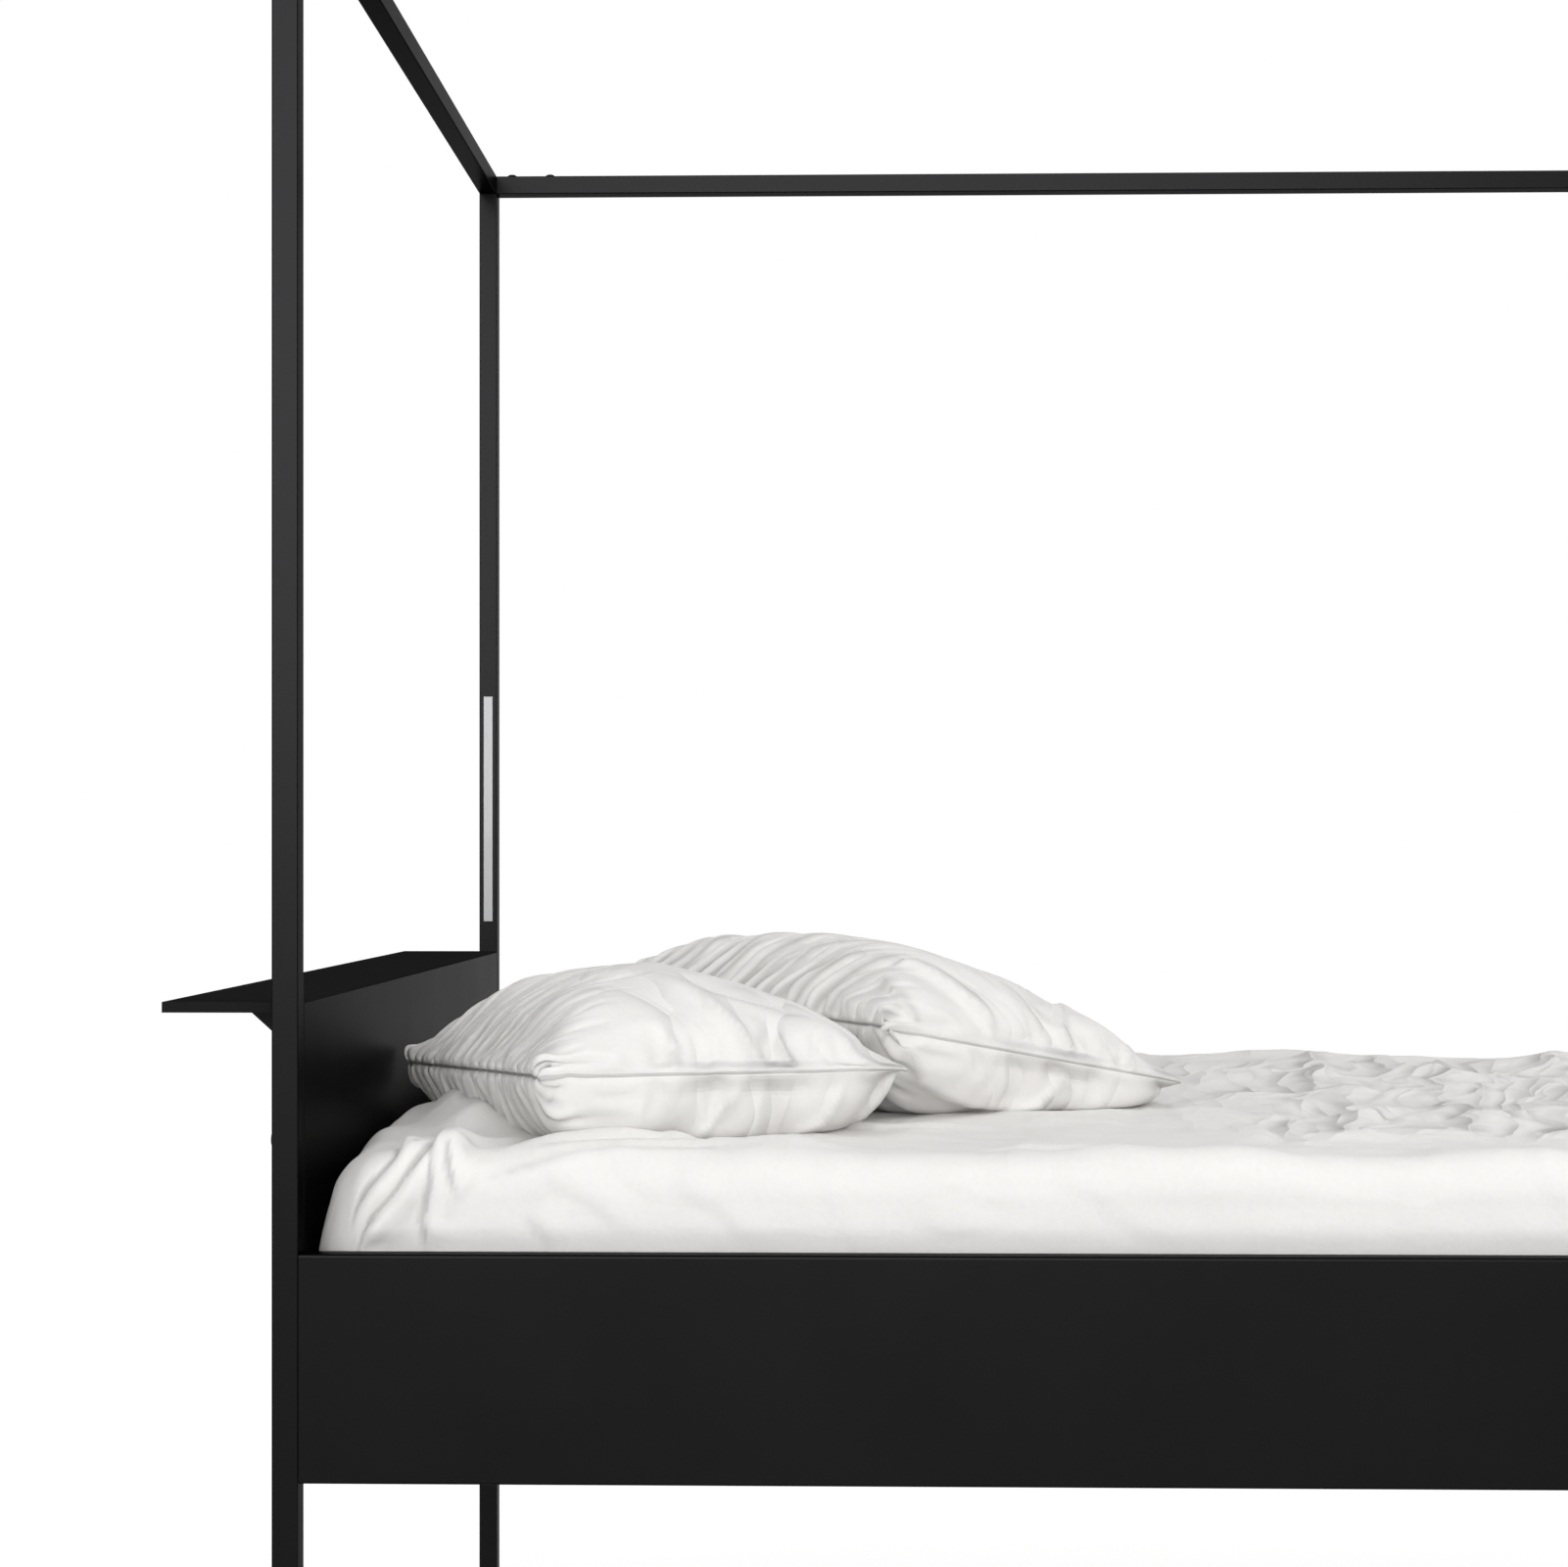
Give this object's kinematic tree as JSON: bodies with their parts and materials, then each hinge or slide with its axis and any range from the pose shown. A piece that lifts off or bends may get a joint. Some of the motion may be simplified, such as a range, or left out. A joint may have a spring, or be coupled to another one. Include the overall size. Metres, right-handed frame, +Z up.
{
  "type": "four poster canopy bed",
  "caption": "Slim black steel four-poster bed with a canopy frame, deep side panels, headboard with rear shelf, post lights, mattress and pillows.",
  "frame": {"origin": "on the floor, under the middle of the bed's bounding box, shelf included", "axes": "+X from the head to the foot, +Y to the right as seen from the foot, +Z up"},
  "size_m": [2.1734, 1.25, 2.0044],
  "materials": {
    "black_steel": "satin",
    "black_screws": "satin",
    "zinc_steel": "satin",
    "raw_aluminium": "satin",
    "opal_lens": "satin",
    "circuit_board": "matte",
    "socket_plastic": "matte",
    "black_plastic": "matte",
    "birch": "satin",
    "mattress_cover": "matte",
    "white_cotton": "matte",
    "pillow_cotton": "matte"
  },
  "bodies": {
    "frame": {"canopy_rail_foot": "black_steel", "canopy_rail_head": "black_steel", "canopy_rail_left": "black_steel", "canopy_rail_right": "black_steel", "canopy_screws": "black_screws", "canopy_spigots": "black_steel", "cross_bar": "black_steel", "cross_bar_bolts": "zinc_steel", "fitted_sheet": "white_cotton", "foot_panel": "black_steel", "foot_panel_end_plates": "black_steel", "foot_post_left": "black_steel", "foot_post_right": "black_steel", "head_post_left": "black_steel", "head_post_right": "black_steel", "headboard_panel": "black_steel", "headboard_rivet_nuts": "zinc_steel", "headboard_screws": "zinc_steel", "light_board_left": "circuit_board", "light_board_right": "circuit_board", "light_channel_left": "raw_aluminium", "light_channel_right": "raw_aluminium", "light_end_caps": "socket_plastic", "light_inlet_left": "socket_plastic", "light_inlet_right": "socket_plastic", "light_lead_left": "socket_plastic", "light_lead_right": "socket_plastic", "light_lens_left": "opal_lens", "light_lens_right": "opal_lens", "mattress": "mattress_cover", "panel_bolts": "zinc_steel", "panel_rivet_nuts": "zinc_steel", "pillow_left": "pillow_cotton", "pillow_right": "pillow_cotton", "post_foot_inserts": "black_plastic", "shelf": "black_steel", "shelf_brackets": "black_steel", "shelf_nuts": "zinc_steel", "shelf_studs": "zinc_steel", "side_panel_end_plates": "black_steel", "side_panel_left": "black_steel", "side_panel_right": "black_steel", "slat_caps": "black_plastic", "slat_frame_rail_foot": "birch", "slat_frame_rail_head": "birch", "slat_frame_stile_left": "birch", "slat_frame_stile_right": "birch", "slat_support_left": "black_steel", "slat_support_right": "black_steel", "slats": "birch"},
    "glide_head_left": {"glide_pad_head_left": "black_plastic", "glide_stud_head_left": "zinc_steel"},
    "glide_head_right": {"glide_pad_head_right": "black_plastic", "glide_stud_head_right": "zinc_steel"},
    "glide_foot_left": {"glide_pad_foot_left": "black_plastic", "glide_stud_foot_left": "zinc_steel"},
    "glide_foot_right": {"glide_pad_foot_right": "black_plastic", "glide_stud_foot_right": "zinc_steel"}
  },
  "joints": [
    {"name": "glide_head_left_level", "type": "slide", "parent": "frame", "child": "glide_head_left", "axis": [0, 0, -1], "range_m": [0, 0.015]},
    {"name": "glide_head_right_level", "type": "slide", "parent": "frame", "child": "glide_head_right", "axis": [0, 0, -1], "range_m": [0, 0.015]},
    {"name": "glide_foot_left_level", "type": "slide", "parent": "frame", "child": "glide_foot_left", "axis": [0, 0, -1], "range_m": [0, 0.015]},
    {"name": "glide_foot_right_level", "type": "slide", "parent": "frame", "child": "glide_foot_right", "axis": [0, 0, -1], "range_m": [0, 0.015]}
  ]
}
